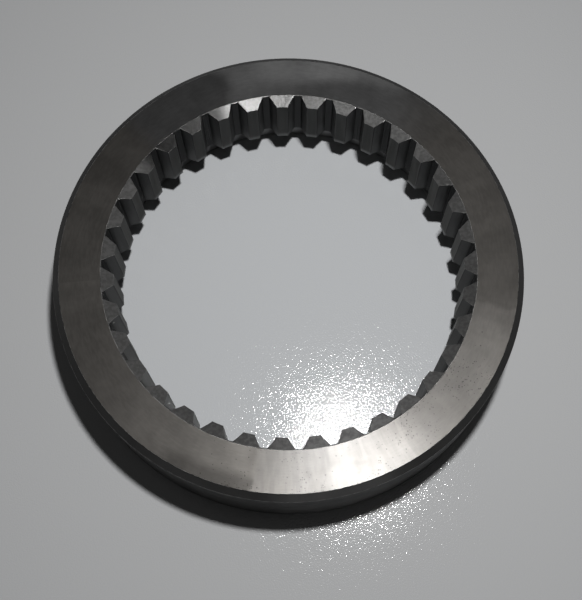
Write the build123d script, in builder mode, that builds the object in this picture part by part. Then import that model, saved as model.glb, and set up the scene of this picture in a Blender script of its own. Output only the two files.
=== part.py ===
from build123d import *

import os
from math import acos, cos, pi, radians, sin, tan

# Internal ring gear: one steel ring with an involute spline of straight teeth in the upper part of
# its bore, and a plain relief bore below the teeth, where the tooth cutter runs out.
# It lies on its lower face, with its axis on Z and a tooth space centred on +X.

# Driving dimensions, in millimetres and degrees
tooth_count = 35
module = 3.0
pressure_angle = 30.0
tip_depth = 1.2  # from the pitch circle in to the tooth tips
root_depth = 2.25  # from the pitch circle out to the tooth roots
root_fillet = 0.4  # in the two corners of each tooth space
rim_wall = 14.25  # solid rim from the tooth roots to the outside
tooth_length = 21.0  # from the upper face to the shoulder above the relief bore
relief_depth = 10.0  # from the lower face up to the shoulder
relief_step = 2.75  # from the tooth roots out to the relief bore
relief_chamfer = 0.5  # on the lower edge of the relief bore
outer_bevel = 2.0  # 45 degree bevel on both outer edges
end_cone_angle = 15.0  # slope of the countersinks across both ends of the teeth
end_cone_land = 0.25  # how far each countersink reaches past the tooth roots
cutter_overrun = 1.0  # how far a cutting shape runs past what it cuts

# How finely the tooth form is drawn
flank_spans = 4  # spans between the points that each flank curve passes through
fillet_share = 0.45  # most of a tooth space's root that one fillet may take

# Circles of the spline and the ring
pitch_radius = module * tooth_count / 2
base_radius = pitch_radius * cos(radians(pressure_angle))
tip_radius = pitch_radius - tip_depth
root_radius = pitch_radius + root_depth
cone_radius = root_radius + end_cone_land
relief_radius = root_radius + relief_step
outer_radius = root_radius + rim_wall
ring_height = relief_depth + tooth_length


def involute(angle):
    """Involute function of a pressure angle in radians."""
    return tan(angle) - angle


def space_half_angle(radius):
    """Half of the angle that one tooth space spans at this radius, in radians."""
    at_pitch = pi / (2 * tooth_count) + involute(radians(pressure_angle))
    return at_pitch - involute(acos(base_radius / radius))


def flank_point(radius, side):
    """Point of a flank, for the tooth space centred on the X axis."""
    angle = side * space_half_angle(radius)
    return (radius * cos(angle), radius * sin(angle))


# Straight cutter with the form of one tooth space
flank_start = max(base_radius, tip_radius - cutter_overrun)
flank_step = (root_radius - flank_start) / flank_spans
flank_radii = [flank_start + flank_step * index for index in range(flank_spans + 1)]

with BuildPart() as tooth_space:
    with BuildSketch(Plane.XY):
        with BuildLine():
            left = Spline(*[flank_point(radius, -1) for radius in flank_radii])
            right = Spline(*[flank_point(radius, 1) for radius in flank_radii])
            ThreePointArc(left @ 1, (root_radius, 0), right @ 1)
            Line(left @ 0, right @ 0)
        make_face()
    extrude(amount=ring_height)
    root_width = 2 * flank_point(root_radius, 1)[1]
    root_corners = tooth_space.edges().filter_by(Axis.Z).sort_by(SortBy.DISTANCE)[-2:]
    fillet(root_corners, min(root_fillet, fillet_share * root_width))

# Countersink across the tooth ends, which narrows into the teeth
cone_reach = cone_radius - tip_radius + cutter_overrun
cone_drop = cone_reach * tan(radians(end_cone_angle))

with BuildPart() as ring_gear:
    Cylinder(outer_radius, ring_height, align=(Align.CENTER, Align.CENTER, Align.MIN))
    chamfer(ring_gear.edges().filter_by(GeomType.CIRCLE), outer_bevel)
    Hole(tip_radius)
    with PolarLocations(0, tooth_count):
        add(tooth_space.part, mode=Mode.SUBTRACT)
    Cylinder(
        relief_radius,
        relief_depth,
        align=(Align.CENTER, Align.CENTER, Align.MIN),
        mode=Mode.SUBTRACT,
    )
    lower_circles = ring_gear.edges().filter_by(GeomType.CIRCLE).group_by(Axis.Z)[0]
    chamfer(lower_circles.sort_by(SortBy.RADIUS)[0], relief_chamfer)
    for end_height, turn in ((ring_height, 0), (relief_depth, 180)):
        with Locations(Location((0, 0, end_height), (turn, 0, 0))):
            Cone(
                cone_radius - cone_reach,
                cone_radius,
                cone_drop,
                align=(Align.CENTER, Align.CENTER, Align.MAX),
                mode=Mode.SUBTRACT,
            )

os.makedirs("parts", exist_ok=True)
ring_gear.part.label = "ring_gear"
export_step(ring_gear.part, "parts/ring_gear.step")
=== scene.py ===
import math

import bmesh
import bpy
from mathutils import Matrix, Vector


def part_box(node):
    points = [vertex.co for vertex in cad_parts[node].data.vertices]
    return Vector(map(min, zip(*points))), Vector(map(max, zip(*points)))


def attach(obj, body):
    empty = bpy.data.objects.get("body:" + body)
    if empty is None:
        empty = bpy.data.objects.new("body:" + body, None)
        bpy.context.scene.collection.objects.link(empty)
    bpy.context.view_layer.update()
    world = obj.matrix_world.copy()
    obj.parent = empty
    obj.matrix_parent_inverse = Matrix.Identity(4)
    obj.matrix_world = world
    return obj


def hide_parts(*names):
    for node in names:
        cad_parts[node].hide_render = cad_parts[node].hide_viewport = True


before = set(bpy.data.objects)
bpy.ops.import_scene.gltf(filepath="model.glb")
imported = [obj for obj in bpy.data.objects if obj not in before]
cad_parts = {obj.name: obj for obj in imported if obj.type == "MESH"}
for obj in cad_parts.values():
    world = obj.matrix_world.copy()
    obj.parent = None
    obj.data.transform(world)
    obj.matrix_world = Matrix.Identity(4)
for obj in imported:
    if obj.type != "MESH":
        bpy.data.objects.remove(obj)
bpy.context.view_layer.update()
ringLow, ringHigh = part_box("ring_gear")
print("frame loaded")


# sizes of the ring in metres and degrees; its outside and its height come from the frame
ringGear = {
    "toothCount": 35,
    "module": 0.003,
    "pressureAngle": 30,
    "tipDepth": 0.0012,       # pitch circle in to the tooth tips
    "rootDepth": 0.00225,     # pitch circle out to the tooth roots
    "rootFillet": 0.0004,
    "coneLand": 0.00025,      # countersink past the tooth roots
    "coneAngle": 15,
    "rimBevel": 0.002,
    "reliefDepth": 0.010,     # lower face up to the shoulder
    "reliefStep": 0.00275,    # tooth roots out to the relief bore
    "reliefChamfer": 0.0005,
    "flankSpans": 4,
    "tipSpans": 2,
    "filletSteps": 3,
    "edgeBreak": 0.00014,     # worn roundness of every sharp edge
    "breakSteps": 2,
    "sharpAngle": 10,         # an edge that turns more than this is worn round
    "uprightSlope": 10,       # an edge that climbs more than this counts as upright
    "weld": 0.000001,         # points nearer than this become one
    "faceWeight": 100,        # how much the large faces decide the shading
}
outerRadius = ringHigh[0]
ringHeight = ringHigh[2] - ringLow[2]
pitchRadius = ringGear["module"] * ringGear["toothCount"] / 2
baseRadius = pitchRadius * math.cos(math.radians(ringGear["pressureAngle"]))
tipRadius = pitchRadius - ringGear["tipDepth"]
rootRadius = pitchRadius + ringGear["rootDepth"]
coneRadius = rootRadius + ringGear["coneLand"]
reliefRadius = rootRadius + ringGear["reliefStep"]
faceRadius = outerRadius - ringGear["rimBevel"]
toothPitch = 2 * math.pi / ringGear["toothCount"]
wallZone, coneZone, faceZone, rimZone, edgeZone = range(5)   # material slots


def involute(angle):
    return math.tan(angle) - angle


def spaceHalfAngle(radius):
    # half of the angle that a tooth space spans at this radius
    atPitch = toothPitch / 4 + involute(math.radians(ringGear["pressureAngle"]))
    return atPitch - involute(math.acos(baseRadius / radius))


def polar(radius, angle, z=0.0):
    return Vector((radius * math.cos(angle), radius * math.sin(angle), z))


def halfSpacePoints():
    # from the middle of a tooth space out along one flank to the middle of a tooth tip
    points = [polar(rootRadius, 0)]
    for step in range(ringGear["flankSpans"] + 1):
        radius = rootRadius + (tipRadius - rootRadius) * step / ringGear["flankSpans"]
        points.append(polar(radius, spaceHalfAngle(radius)))
    tipStart = spaceHalfAngle(tipRadius)
    for step in range(1, ringGear["tipSpans"] + 1):
        angle = tipStart + (toothPitch / 2 - tipStart) * step / ringGear["tipSpans"]
        points.append(polar(tipRadius, angle))
    return points


def splineLoop(bm):
    # one half space, mirrored, then copied round the bore
    verts = [bm.verts.new(point) for point in halfSpacePoints()]
    for first, second in zip(verts, verts[1:]):
        bm.edges.new((first, second))
    bmesh.ops.mirror(bm, geom=bm.verts[:] + bm.edges[:], axis="Y", merge_dist=ringGear["weld"])
    copies = ringGear["toothCount"] - 1
    bmesh.ops.spin(bm, geom=bm.verts[:] + bm.edges[:], axis=(0, 0, 1), cent=(0, 0, 0),
                   angle=toothPitch * copies, steps=copies, use_duplicate=True)
    bmesh.ops.remove_doubles(bm, verts=bm.verts[:], dist=ringGear["weld"])


def coneDrop(radius):
    # how far the countersink lies below the face at this radius
    return max(0, coneRadius - radius) * math.tan(math.radians(ringGear["coneAngle"]))


def ringBlank(bm):
    # the loop of the lower tooth ends is pulled up the teeth, across the face, down the rim and back
    splineLoop(bm)
    shoulder = ringGear["reliefDepth"]
    for vert in bm.verts:
        vert.co.z = shoulder + coneDrop(vert.co.xy.length)
    toothEnds = bm.edges[:]
    bevel = ringGear["rimBevel"]
    chamfer = ringGear["reliefChamfer"]
    stages = [
        (wallZone, None, ringHeight),   # with no radius, each point keeps its own
        (coneZone, coneRadius, ringHeight),
        (faceZone, faceRadius, ringHeight),
        (rimZone, outerRadius, ringHeight - bevel),
        (rimZone, outerRadius, bevel),
        (rimZone, faceRadius, 0),
        (faceZone, reliefRadius + chamfer, 0),
        (rimZone, reliefRadius, chamfer),
        (rimZone, reliefRadius, shoulder),
        (coneZone, coneRadius, shoulder),
    ]
    loop = toothEnds
    for zone, stageRadius, level in stages:
        made = bmesh.ops.extrude_edge_only(bm, edges=loop)["geom"]
        loop = []
        for item in made:
            if isinstance(item, bmesh.types.BMVert):
                radius = stageRadius or item.co.xy.length
                angle = math.atan2(item.co.y, item.co.x)
                item.co = polar(radius, angle, level - coneDrop(radius))
            elif isinstance(item, bmesh.types.BMFace):
                item.material_index = zone
            elif len(item.link_faces) == 1:
                loop.append(item)
    for face in bmesh.ops.bridge_loops(bm, edges=loop + toothEnds)["faces"]:
        face.material_index = coneZone
    bmesh.ops.recalc_face_normals(bm, faces=bm.faces[:])


def isRootEdge(edge):
    # an upright edge outside the pitch circle
    first, second = edge.verts
    run = (first.co - second.co).xy.length
    upright = abs(first.co.z - second.co.z) > ringGear["uprightSlope"] * run
    return upright and first.co.xy.length > pitchRadius


def roundEdges(bm):
    # fillets in the tooth roots, then the worn roundness of every other sharp edge
    turn = math.pi / 2 - math.acos(baseRadius / rootRadius)   # between a flank and the root circle
    corners = [edge for edge in bm.edges if isRootEdge(edge) and edge.calc_face_angle() > turn / 2]
    bmesh.ops.bevel(bm, geom=corners, affect="EDGES", segments=ringGear["filletSteps"],
                    offset=ringGear["rootFillet"] * math.tan(turn / 2), profile=0.5, material=-1)
    limit = math.radians(ringGear["sharpAngle"])
    sharp = [edge for edge in bm.edges if edge.calc_face_angle() > limit and not isRootEdge(edge)]
    worn = bmesh.ops.bevel(bm, geom=sharp, affect="EDGES", segments=ringGear["breakSteps"],
                           offset=ringGear["edgeBreak"], profile=0.5, material=-1, clamp_overlap=True)
    for face in worn["faces"]:
        face.material_index = edgeZone


def makeRing():
    mesh = bpy.data.meshes.new("ringGearDetail")
    bm = bmesh.new()
    ringBlank(bm)
    roundEdges(bm)
    bm.to_mesh(mesh)
    bm.free()
    ring = bpy.data.objects.new("ringGearDetail", mesh)
    bpy.context.scene.collection.objects.link(ring)
    for polygon in mesh.polygons:
        polygon.use_smooth = True
    normals = ring.modifiers.new("faceWeights", "WEIGHTED_NORMAL")
    normals.weight = ringGear["faceWeight"]
    return ring


# node helpers: a value is a number, a colour, a vector or the output of another node
noiseRange = (0.3, 0.7)   # noise seldom goes past these


def newMaterial(name):
    material = bpy.data.materials.new(name)
    material.use_nodes = True
    material.node_tree.nodes.clear()
    return material, material.node_tree


def addNode(tree, kind, values=(), settings=()):
    # values go to sockets, by name or index, and settings to the node itself
    node = tree.nodes.new("ShaderNode" + kind)
    for name, value in dict(settings).items():
        setattr(node, name, value)
    for name, value in dict(values).items():
        if isinstance(value, bpy.types.NodeSocket):
            tree.links.new(value, node.inputs[name])
        else:
            node.inputs[name].default_value = value
    return node


def maths(tree, operation, *values):
    return addNode(tree, "Math", enumerate(values), {"operation": operation}).outputs[0]


def times(tree, product, *factors):
    for factor in factors:
        product = maths(tree, "MULTIPLY", product, factor)
    return product


def brighten(tree, shine, part):
    # by that part of itself, or darken where the part is below 0
    return maths(tree, "MULTIPLY", shine, maths(tree, "ADD", 1, part))


def vectorMaths(tree, operation, *values):
    node = addNode(tree, "VectorMath", enumerate(values), {"operation": operation})
    return node.outputs["Value" if operation == "LENGTH" else "Vector"]


def scaled(tree, vector, scale):
    return addNode(tree, "VectorMath", {0: vector, "Scale": scale}, {"operation": "SCALE"}).outputs[0]


def rise(tree, value, low, high, start=0.0, end=1.0):
    # start up to low, end from high on, and a smooth step between them
    values = {"Value": value, "From Min": low, "From Max": high, "To Min": start, "To Max": end}
    return addNode(tree, "MapRange", values, {"interpolation_type": "SMOOTHSTEP"}).outputs["Result"]


def noise(tree, vector, scale, detail):
    values = {"Vector": vector, "Scale": scale, "Detail": detail}
    return addNode(tree, "TexNoise", values).outputs["Fac"]


def swing(tree, pattern, middle, reach):
    # a pattern of noise, as values that reach as far above the middle as below it
    return rise(tree, pattern, *noiseRange, middle - reach, middle + reach)


def tint(tree, factor, first, second):
    # a colour between two others, by a factor from 0 to 1
    first, second = [(*color, 1) if isinstance(color, tuple) else color for color in (first, second)]
    return addNode(tree, "Mix", {0: factor, 6: first, 7: second}, {"data_type": "RGBA"}).outputs[2]


def bumpFrom(tree, relief, strength, distance):
    values = {"Height": relief, "Strength": strength, "Distance": distance}
    return addNode(tree, "Bump", values).outputs[0]


def finishMaterial(tree, shader):
    addNode(tree, "OutputMaterial", {"Surface": shader.outputs[0]})


# coordinates and patterns that the finishes of the ring share
def ringPoint(tree):
    # radius is measured from the axis, the angle is in degrees, and outward points away from the axis
    place = addNode(tree, "TexCoord").outputs["Object"]
    flat = vectorMaths(tree, "MULTIPLY", place, (1, 1, 0))
    x, y, z = addNode(tree, "SeparateXYZ", {0: place}).outputs
    return {
        "place": place,
        "radius": vectorMaths(tree, "LENGTH", flat),
        "angle": maths(tree, "DEGREES", maths(tree, "ARCTAN2", y, x)),
        "z": z,
        "outward": vectorMaths(tree, "NORMALIZE", flat),
    }


def sweptNoise(tree, point, aroundScale, outwardScale, detail):
    # noise in strokes round the ring, with no seam; its scale is per radian and per metre outward
    swept = scaled(tree, point["outward"], aroundScale)
    offset = addNode(tree, "CombineXYZ", {"Z": times(tree, point["radius"], outwardScale)}).outputs[0]
    return noise(tree, vectorMaths(tree, "ADD", swept, offset), 1, detail)


def sector(tree, angle, start, end, softStart, softEnd):
    # 1 between two angles in degrees, with an edge of its own softness at each
    opened = rise(tree, angle, start - softStart / 2, start + softStart / 2)
    closed = rise(tree, angle, end - softEnd / 2, end + softEnd / 2, 1, 0)
    return times(tree, opened, closed)


def zoneParts(tree, angle, zones):
    # how much more or less each sector shines, as painted highlight and painted shade partly over the
    # steel's own tone
    return [times(tree, sector(tree, angle, *edges), gain) for *edges, gain in zones]


# In the dictionaries of the finishes, a noise is its scale and detail, or its two scales and detail
# where it is swept. A sector is its start and end angle and the softness at each, and a zone is a
# sector and how much more or less it shines: above 0 it is painted highlight, below 0 painted shade,
# partly over the steel's own tone. A range is where something begins and ends, and then the values
# there, if they are not 0 and 1.

# the ground upper and lower faces
groundSteel = {
    "color": (0.224, 0.212, 0.197),
    "cleanColor": (0.212, 0.212, 0.212),
    "cleanSector": (45, 132, 25, 8),
    "roughness": 0.355,
    "roughnessReach": 0.015,
    "anisotropic": 0.1,
    "bump": (0.25, 0.00002),          # strength, and depth in metres
    # painted highlight and painted shade round the face, which shape the lamp's highlight, partly over
    # the steel's own tone
    "zones": [
        (-172, -104, 16, 2, -0.15),
        (-130, -104, 12, 2, -0.12),
        (-104, -84, 2, 3, -0.26),
        (-84, -64, 3, 6, 0.09),
        (-62, -43, 6, 6, -0.20),
        (-38, -18, 4, 1.5, 0.14),
        (-18, 4, 1.5, 8, -0.12),
        (53, 76, 8, 12, 0.16),
        (105, 150, 3, 14, -0.22),
        (150, 185, 14, 1, -0.10),
    ],
    "warp": (90, 3),                  # noise that bends the edges of the zones
    "warpDegrees": 9,
    "streaks": (22, 40, 4),           # broad swept strokes, and how much they show
    "streakReach": 0.035,
    "scratches": (26, 1800, 3),       # fine ones, left by the grinding wheel
    "scratchReach": 0.05,
    "clouds": (95, 5),
    "cloudReach": 0.10,
}
# marks on the upper and lower faces
faceMarks = {
    "blotchSector": (-126, -105, 8, 1.5),
    "blotchRange": (0.0612, 0.0650),  # metres from the axis
    "blotchShine": -0.30,
    "innerSector": (-106, -14, 6, 6),
    "innerShine": (-0.14, 0.05),      # painted shade beside the teeth and painted highlight at the rim, across the lamp's highlight
    "runs": (42, 150, 5),             # swept noise of the dried runs of oil
    "runSector": (-106, -60, 6, 10),
    "runRange": (0.36, 0.62, -0.10, 0.07),
}
# a smoother patch of the face, wide at the rim and narrow at the teeth, whose added shine is painted
# highlight
paintedHighlightPatch = {
    "start": (76, 96),                # degrees, beside the teeth
    "slant": 26,                      # degrees that it starts earlier at the rim
    "end": (101, 105),
    "fadeOut": (88, 101, 1, 0.6),     # degrees over which it gets fainter towards its end
    "fadeIn": (0.056, 0.063, 0.45, 1),  # metres from the axis over which it gets stronger
    "shine": 0.85,
    "roughness": 0.10,
}
# small round dents, crowded in the clouds of a noise
facePits = {
    "cells": 2000,                    # scale of the cells, which hold a dent each or none
    "size": 0.48,                     # radius of the largest dents in cells
    "smallest": 0.4,                  # share of that for the smallest
    "wall": 0.4,                      # how far towards its middle a dent slopes
    "clouds": (70, 3),
    "cloudRange": (0.46, 0.62, 0.05, 0.5),   # share of the cells with a dent
    "sector": (-114, -34, 12, 20),
    "shine": -0.6,
    "depth": 1.5,                     # against the scratches
}
# a thin film of oil, thicker in the clouds of a noise
oilFilm = {
    "clouds": (60, 3),
    "cloudRange": (0.35, 0.6, 0.6, 1),
    "sector": (-104, -18, 3, 14),
    "roughness": 0.25,
}


def paintedHighlightShare(tree, bent, radius):
    slant = rise(tree, radius, coneRadius, faceRadius, 0, paintedHighlightPatch["slant"])
    opened = rise(tree, maths(tree, "ADD", bent, slant), *paintedHighlightPatch["start"])
    closed = rise(tree, bent, *paintedHighlightPatch["end"], 1, 0)
    strength = rise(tree, radius, *paintedHighlightPatch["fadeIn"])
    return times(tree, opened, closed, strength, rise(tree, bent, *paintedHighlightPatch["fadeOut"]))


def faceShine(tree, point, bent, patchHighlight):
    # how strongly the ground face shines, from sector to sector, with painted highlight and painted
    # shade that shape the lamp's highlight
    radius = point["radius"]
    shine = 1
    for part in zoneParts(tree, bent, groundSteel["zones"]):
        shine = maths(tree, "ADD", shine, part)
    blotch = times(tree, sector(tree, bent, *faceMarks["blotchSector"]),
                   rise(tree, radius, *faceMarks["blotchRange"]), faceMarks["blotchShine"])
    inner = times(tree, sector(tree, bent, *faceMarks["innerSector"]),
                  rise(tree, radius, coneRadius, faceRadius, *faceMarks["innerShine"]))
    for part in (blotch, times(tree, patchHighlight, paintedHighlightPatch["shine"]), inner):
        shine = maths(tree, "ADD", shine, part)
    return shine


def pits(tree, place, angle):
    # 1 at the bottom of each dent, and 0 around them
    cells = addNode(tree, "TexVoronoi", {"Vector": place, "Scale": facePits["cells"]})
    chance = addNode(tree, "SeparateColor", {0: cells.outputs["Color"]})
    crowded = rise(tree, noise(tree, place, *facePits["clouds"]), *facePits["cloudRange"])
    crowded = times(tree, crowded, sector(tree, angle, *facePits["sector"]))
    chosen = maths(tree, "LESS_THAN", chance.outputs[0], crowded)
    size = facePits["size"]
    width = rise(tree, chance.outputs[1], 0, 1, facePits["smallest"] * size, size)
    depth = maths(tree, "SUBTRACT", 1, maths(tree, "DIVIDE", cells.outputs["Distance"], width))
    return times(tree, rise(tree, depth, 0, facePits["wall"]), chosen)


def groundFace():
    material, tree = newMaterial("groundFace")
    point = ringPoint(tree)
    place, angle = point["place"], point["angle"]
    warp = maths(tree, "SUBTRACT", noise(tree, place, *groundSteel["warp"]), 0.5)
    bent = maths(tree, "ADD", angle, times(tree, warp, groundSteel["warpDegrees"]))
    patchHighlight = paintedHighlightShare(tree, bent, point["radius"])
    shine = faceShine(tree, point, bent, patchHighlight)
    streaks = sweptNoise(tree, point, *groundSteel["streaks"])
    scratches = sweptNoise(tree, point, *groundSteel["scratches"])
    clouds = noise(tree, place, *groundSteel["clouds"])
    shine = times(tree, shine, swing(tree, streaks, 1, groundSteel["streakReach"]),
                  swing(tree, scratches, 1, groundSteel["scratchReach"]),
                  swing(tree, clouds, 1, groundSteel["cloudReach"]))
    runs = rise(tree, sweptNoise(tree, point, *faceMarks["runs"]), *faceMarks["runRange"])
    shine = brighten(tree, shine, times(tree, runs, sector(tree, angle, *faceMarks["runSector"])))
    dents = pits(tree, place, angle)
    shine = brighten(tree, shine, times(tree, dents, facePits["shine"]))
    hue = tint(tree, sector(tree, angle, *groundSteel["cleanSector"]),
               groundSteel["color"], groundSteel["cleanColor"])
    roughness = swing(tree, scratches, groundSteel["roughness"], groundSteel["roughnessReach"])
    relief = maths(tree, "SUBTRACT", scratches, times(tree, dents, facePits["depth"]))
    film = rise(tree, noise(tree, place, *oilFilm["clouds"]), *oilFilm["cloudRange"])
    finishMaterial(tree, addNode(tree, "BsdfPrincipled", {
        "Base Color": scaled(tree, hue, shine),
        "Metallic": 1,
        "Roughness": maths(tree, "ADD", roughness, times(tree, patchHighlight, paintedHighlightPatch["roughness"])),
        "Anisotropic": groundSteel["anisotropic"],
        "Tangent": point["outward"],
        "Normal": bumpFrom(tree, relief, *groundSteel["bump"]),
        "Coat Weight": times(tree, film, sector(tree, angle, *oilFilm["sector"])),
        "Coat Roughness": oilFilm["roughness"],
    }))
    return material


# the turned countersinks at the tooth ends
turnedSteel = {
    "color": (0.269, 0.267, 0.263),
    "metallic": 0.90,
    "roughness": 0.32,
    "roughnessReach": 0.03,
    "anisotropic": 0.82,
    "bump": (0.30, 0.00009),
    "mottle": (1100, 3),
    "mottleRange": (0.35, 0.65, 0.75, 1),
    # painted highlight and painted shade by sector round the countersinks
    "zones": [
        (-132, -5, 20, 12, -0.26),
        (35, 78, 12, 6, 0.4),
        (68, 104, 8, 5, -0.18),
        (106, 138.8, 8, 8, -0.83),
    ],
}


def turnedCone():
    material, tree = newMaterial("turnedCone")
    point = ringPoint(tree)
    mottle = noise(tree, point["place"], *turnedSteel["mottle"])
    shine = rise(tree, mottle, *turnedSteel["mottleRange"])
    for part in zoneParts(tree, point["angle"], turnedSteel["zones"]):
        shine = brighten(tree, shine, part)
    finishMaterial(tree, addNode(tree, "BsdfPrincipled", {
        "Base Color": scaled(tree, turnedSteel["color"], shine),
        "Metallic": turnedSteel["metallic"],
        "Roughness": swing(tree, mottle, turnedSteel["roughness"], turnedSteel["roughnessReach"]),
        "Anisotropic": turnedSteel["anisotropic"],
        "Tangent": point["outward"],
        "Normal": bumpFrom(tree, mottle, *turnedSteel["bump"]),
    }))
    return material


# the sides of the teeth, as the cutter left them
machinedSteel = {
    "color": (0.128, 0.130, 0.131),
    "tipColor": (0.053, 0.054, 0.054),
    "metallic": 0.70,                 # the flanks are partly covered with dull oxide
    "grazing": (0.64, 0.635, 0.62),   # colour of the light that glances off
    "roughness": 0.42,
    "roughnessReach": 0.05,
    "strokes": (2200, 2200, 60),      # scale of the upright strokes on each axis
    "strokeDetail": 2,
    "strokeReach": 0.15,
    "bump": (0.3, 0.00003),
    "tipMargin": (0.0002, 0.0005),    # metres past the tooth tips where they pass into the flanks
    # metres inside the tooth roots where a painted shade begins and where it ends, and the share it
    # leaves
    "rootShades": [(0.00145, 0.0001, 0.46), (0.0002, 0.00005, 0.72)],
    "lipStart": (0.0008, 0.0012),     # a painted highlight along the lower ends of the tips, where their burr catches the light, in metres above the shoulder
    "lipEnd": (0.0016, 0.0032),
    "lipHighlight": 0.9,
    # painted shade on the flanks alone, not on the tips, darker at the sides of the bore
    "zones": [(120, 190, 50, 1, -0.36), (-190, -140, 1, 25, -0.25), (-50, 40, 25, 50, -0.36)],
}


# painted highlight of the burr along the lower ends of the tooth tips
def lipHighlightShare(tree, z):
    shoulder = ringGear["reliefDepth"]
    opened = rise(tree, z, *[shoulder + level for level in machinedSteel["lipStart"]])
    closed = rise(tree, z, *[shoulder + level for level in machinedSteel["lipEnd"]], 1, 0)
    return times(tree, opened, closed, machinedSteel["lipHighlight"])


def machinedWall():
    material, tree = newMaterial("machinedWall")
    point = ringPoint(tree)
    radius = point["radius"]
    strokeVector = vectorMaths(tree, "MULTIPLY", point["place"], machinedSteel["strokes"])
    strokes = noise(tree, strokeVector, 1, machinedSteel["strokeDetail"])
    tip = rise(tree, radius, *[tipRadius + margin for margin in machinedSteel["tipMargin"]], 1, 0)
    flank = maths(tree, "SUBTRACT", 1, tip)
    shine = swing(tree, strokes, 1, machinedSteel["strokeReach"])
    # painted shade that deepens into the tooth roots
    for before, after, share in machinedSteel["rootShades"]:
        shine = times(tree, shine, rise(tree, radius, rootRadius - before, rootRadius - after, 1, share))
    shine = brighten(tree, shine, times(tree, lipHighlightShare(tree, point["z"]), tip))
    for part in zoneParts(tree, point["angle"], machinedSteel["zones"]):
        shine = brighten(tree, shine, times(tree, part, flank))
    hue = tint(tree, tip, machinedSteel["color"], machinedSteel["tipColor"])
    finishMaterial(tree, addNode(tree, "BsdfPrincipled", {
        "Base Color": scaled(tree, hue, shine),
        "Metallic": rise(tree, tip, 0, 1, machinedSteel["metallic"], 1),
        "Roughness": swing(tree, strokes, machinedSteel["roughness"], machinedSteel["roughnessReach"]),
        "Specular Tint": scaled(tree, machinedSteel["grazing"], shine),
        "Normal": bumpFrom(tree, strokes, *machinedSteel["bump"]),
    }))
    return material


# the outside with its bevels, and the relief bore, both dark with oxide; the relief bore's paler colour
# is painted light that lifts its shade under the teeth
blackenedSteel = {
    "color": (0.050, 0.0494, 0.0488),
    "cloudColor": (0.040, 0.03952, 0.03904),
    "clouds": (160, 4),
    "cloudRange": (0.35, 0.65),
    "boreColorWithPaintedLight": (0.120, 0.120, 0.120),
    "boreMargin": (0.0003, 0.0006),   # metres past the relief bore where its colour ends
    "metallic": 0.60,                 # partly covered with dull oxide
    "grazing": (0.26, 0.26, 0.26),
    "roughness": 0.40,
    "roughnessReach": 0.05,
    "grain": (2500, 2),
    "bump": (0.2, 0.00002),
    "lowerShare": 1.25,               # how bright the foot of the rim is, and its top: painted light at the foot and painted shade at the top, which even out the rim's reflections of the floor
    "upperShare": 0.55,
    "bevelShare": 0.45,               # what the upper bevel has more than the rim just below it
    "bevelFade": 0.0002,              # metres between the two
    # painted highlight and painted shade by sector round the rim
    "zones": [
        (-172, -130, 30, 10, -0.36),
        (-130, -98, 10, 20, -0.22),
        (-98, -68, 10, 10, 0.5),
        (-72, -12, 10, 24, -0.25),
        (66, 122, 20, 20, 0.25),
    ],
}


def rimShade(tree, z):
    # painted light low on the rim and painted shade higher up, with the upper bevel brought back up
    top = ringHeight - ringGear["rimBevel"]
    fadeStart = top - blackenedSteel["bevelFade"]
    side = rise(tree, z, ringGear["rimBevel"], fadeStart,
                blackenedSteel["lowerShare"], blackenedSteel["upperShare"])
    return maths(tree, "ADD", side, rise(tree, z, fadeStart, top, 0, blackenedSteel["bevelShare"]))


def blackenedRim():
    material, tree = newMaterial("blackenedRim")
    point = ringPoint(tree)
    cloud = noise(tree, point["place"], *blackenedSteel["clouds"])
    hue = tint(tree, rise(tree, cloud, *blackenedSteel["cloudRange"]),
               blackenedSteel["cloudColor"], blackenedSteel["color"])
    boreEnd = [reliefRadius + margin for margin in blackenedSteel["boreMargin"]]
    hue = tint(tree, rise(tree, point["radius"], *boreEnd), blackenedSteel["boreColorWithPaintedLight"], hue)
    shine = rimShade(tree, point["z"])
    for part in zoneParts(tree, point["angle"], blackenedSteel["zones"]):
        shine = brighten(tree, shine, part)
    grain = noise(tree, point["place"], *blackenedSteel["grain"])
    finishMaterial(tree, addNode(tree, "BsdfPrincipled", {
        "Base Color": scaled(tree, hue, shine),
        "Metallic": blackenedSteel["metallic"],
        "Roughness": swing(tree, cloud, blackenedSteel["roughness"], blackenedSteel["roughnessReach"]),
        "Specular Tint": scaled(tree, blackenedSteel["grazing"], shine),
        "Normal": bumpFrom(tree, grain, *blackenedSteel["bump"]),
    }))
    return material


# the rounded edges, worn bare in places and darker inside the bore, with painted shade over a glint
# where the tooth roots meet the countersink
bareEdge = {
    "color": (0.40, 0.395, 0.385),
    "dirtAndShade": (0.048, 0.049, 0.050),
    "roughness": 0.38,
    "bump": (0.3, 0.00002),
    "wear": (700, 3),
    "wearRange": (0.32, 0.56),
    "darkEdgeShine": -0.93,             # how much darker the edges are there; where the tooth roots meet the countersink, painted shade over a glint
    "wallFade": (0.0006, 0.0003),     # metres below the foot of the upper countersink
    "rootFade": (0.0004, 0.0002),     # metres inside the tooth roots
    "coneFade": (0.00012, 0.00004),   # metres inside the edge of the countersink
}


def darkEdgeShare(tree, point):
    # 1 on the edges of the teeth below the upper countersink, and where the tooth roots meet it; that
    # second part is painted shade over a glint
    radius = point["radius"]
    coneFoot = ringHeight - coneDrop(tipRadius)
    below = rise(tree, point["z"], *[coneFoot - fade for fade in bareEdge["wallFade"]], 1, 0)
    walls = times(tree, below, rise(tree, radius, coneRadius, reliefRadius, 1, 0))
    pastRoots = rise(tree, radius, *[rootRadius - fade for fade in bareEdge["rootFade"]])
    insideCone = rise(tree, radius, *[coneRadius - fade for fade in bareEdge["coneFade"]], 1, 0)
    return maths(tree, "MAXIMUM", walls, times(tree, pastRoots, insideCone))


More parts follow.
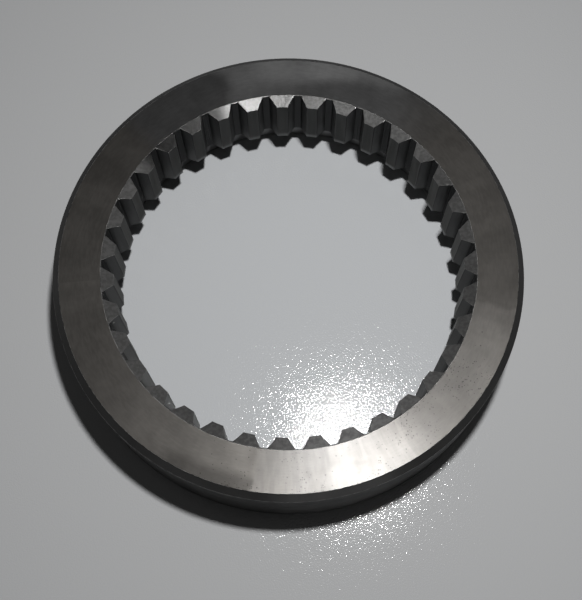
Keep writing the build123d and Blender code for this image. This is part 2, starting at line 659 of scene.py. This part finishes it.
def wornAndShadedEdge():
    material, tree = newMaterial("wornAndShadedEdge")
    point = ringPoint(tree)
    wear = noise(tree, point["place"], *bareEdge["wear"])
    bare = rise(tree, wear, *bareEdge["wearRange"])
    bare = brighten(tree, bare, times(tree, darkEdgeShare(tree, point), bareEdge["darkEdgeShine"]))
    finishMaterial(tree, addNode(tree, "BsdfPrincipled", {
        "Base Color": tint(tree, bare, bareEdge["dirtAndShade"], bareEdge["color"]),
        "Metallic": 1,
        "Roughness": bareEdge["roughness"],
        "Normal": bumpFrom(tree, wear, *bareEdge["bump"]),
    }))
    return material


ring = makeRing()
for material in (machinedWall(), turnedCone(), groundFace(), blackenedRim(), wornAndShadedEdge()):
    ring.data.materials.append(material)
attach(ring, "root")
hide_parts("ring_gear")
print("ring gear made:", len(ring.data.polygons), "faces")


# a grey painted plate, which turns into a plain pale backdrop further out
floorSizes = {
    "halfWidth": 3.0,
    "color": (0.410, 0.414, 0.418),
    # the plate inside the bore, painted lighter and bluer: painted light
    "boreColorWithPaintedLight": (0.455, 0.466, 0.477),
    "roughness": 0.105,
    "specular": 0.80,
    "grain": 2350,            # scale of the orange peel in the paint
    "grainDepth": 0.0000360,
    "grainShift": (0.1, 0.1, 0.0003),   # keeps the plate off the grid of the noise, where it is flat
    "warp": 0.030,            # slope of the plate, which moves its glare
    "paleFrom": 0.28,         # metres from the axis
    "paleTo": 0.80,
}
roomSizes = {
    "backdrop": (0.60, 0.605, 0.61),
    "ceiling": (0.105, 0.105, 0.105),
    "ceilingFrom": 0.55,      # sine of the height above the horizon
    "fill": (0.029, 0.029, 0.029),
}


def seenDirectly(tree):
    rays = addNode(tree, "LightPath").outputs
    seen = maths(tree, "MAXIMUM", rays["Is Camera Ray"], rays["Is Glossy Ray"])
    return maths(tree, "MAXIMUM", seen, rays["Is Transmission Ray"])


def palePaint():
    material, tree = newMaterial("palePaint")
    place = addNode(tree, "TexCoord").outputs["Object"]
    away = vectorMaths(tree, "LENGTH", place)
    shifted = vectorMaths(tree, "ADD", place, floorSizes["grainShift"])
    grain = noise(tree, shifted, floorSizes["grain"], 0)
    slope = times(tree, addNode(tree, "SeparateXYZ", {0: place}).outputs["Y"], floorSizes["warp"])
    relief = maths(tree, "ADD", times(tree, grain, floorSizes["grainDepth"]), slope)
    # painted light: the plate is lighter and bluer inside the bore
    outside = rise(tree, away, tipRadius, outerRadius)
    paint = addNode(tree, "BsdfPrincipled", {
        "Base Color": tint(tree, outside, floorSizes["boreColorWithPaintedLight"], floorSizes["color"]),
        "Roughness": floorSizes["roughness"],
        "Specular IOR Level": floorSizes["specular"],
        "Normal": bumpFrom(tree, relief, 1, 1),
    })
    pale = addNode(tree, "Emission", {"Color": (*roomSizes["backdrop"], 1)})
    far = rise(tree, away, floorSizes["paleFrom"], floorSizes["paleTo"])
    factor = times(tree, far, seenDirectly(tree))
    shaders = {0: factor, 1: paint.outputs[0], 2: pale.outputs[0]}
    finishMaterial(tree, addNode(tree, "MixShader", shaders))
    return material


def makeFloor():
    mesh = bpy.data.meshes.new("floor")
    bm = bmesh.new()
    bmesh.ops.create_grid(bm, x_segments=1, y_segments=1, size=floorSizes["halfWidth"])
    bm.to_mesh(mesh)
    bm.free()
    floor = bpy.data.objects.new("floor", mesh)
    bpy.context.scene.collection.objects.link(floor)
    floor.data.materials.append(palePaint())


def makeRoom():
    world = bpy.data.worlds.new("room")
    bpy.context.scene.world = world
    world.use_nodes = True
    tree = world.node_tree
    tree.nodes.clear()
    direction = addNode(tree, "TexCoord").outputs["Generated"]
    upward = addNode(tree, "SeparateXYZ", {0: direction}).outputs["Z"]
    ceiling = rise(tree, upward, 0, roomSizes["ceilingFrom"])
    seen = tint(tree, ceiling, roomSizes["backdrop"], roomSizes["ceiling"])
    color = tint(tree, seenDirectly(tree), roomSizes["fill"], seen)
    background = addNode(tree, "Background", {"Color": color})
    addNode(tree, "OutputWorld", {"Surface": background.outputs[0]})


makeFloor()
makeRoom()
print("floor and room made")

# two lamps in one small overhead place: only the weaker one shows in reflections
lampSizes = {
    "place": (0.037, -0.004, 0.424),
    "width": 0.026,
    "power": 1.75,
    "mirrored": 0.185,        # share of the power in the lamp that shows in reflections
}


def makeLamp(name, share, mirrored):
    lamp = bpy.data.lights.new(name, "AREA")
    lamp.shape = "DISK"
    lamp.size = lampSizes["width"]
    lamp.energy = lampSizes["power"] * share
    holder = bpy.data.objects.new(name, lamp)
    bpy.context.scene.collection.objects.link(holder)
    holder.location = lampSizes["place"]
    holder.visible_glossy = mirrored


makeLamp("mirroredLamp", lampSizes["mirrored"], True)
makeLamp("softLamp", 1 - lampSizes["mirrored"], False)
print("lamps made")

cameraSizes = {
    "place": (-0.007372, -0.105065, 0.319356),
    "aim": (0.010326, -0.013766, 0.031),
    "roll": 5.32,
    "lens": 63.02,
    "sensor": 36,
    "nearest": 0.01,
    "shift": (-0.0650, 0.00745),
}


def makeCamera():
    data = bpy.data.cameras.new("camera")
    data.lens = cameraSizes["lens"]
    data.sensor_width = cameraSizes["sensor"]
    data.clip_start = cameraSizes["nearest"]
    data.shift_x, data.shift_y = cameraSizes["shift"]
    camera = bpy.data.objects.new("camera", data)
    bpy.context.scene.collection.objects.link(camera)
    place = Vector(cameraSizes["place"])
    look = (Vector(cameraSizes["aim"]) - place).to_track_quat("-Z", "Y").to_matrix().to_4x4()
    roll = Matrix.Rotation(math.radians(cameraSizes["roll"]), 4, "Z")
    camera.matrix_world = Matrix.Translation(place) @ look @ roll
    bpy.context.scene.camera = camera


makeCamera()
bpy.context.scene.view_settings.view_transform = "Standard"
print("camera made")
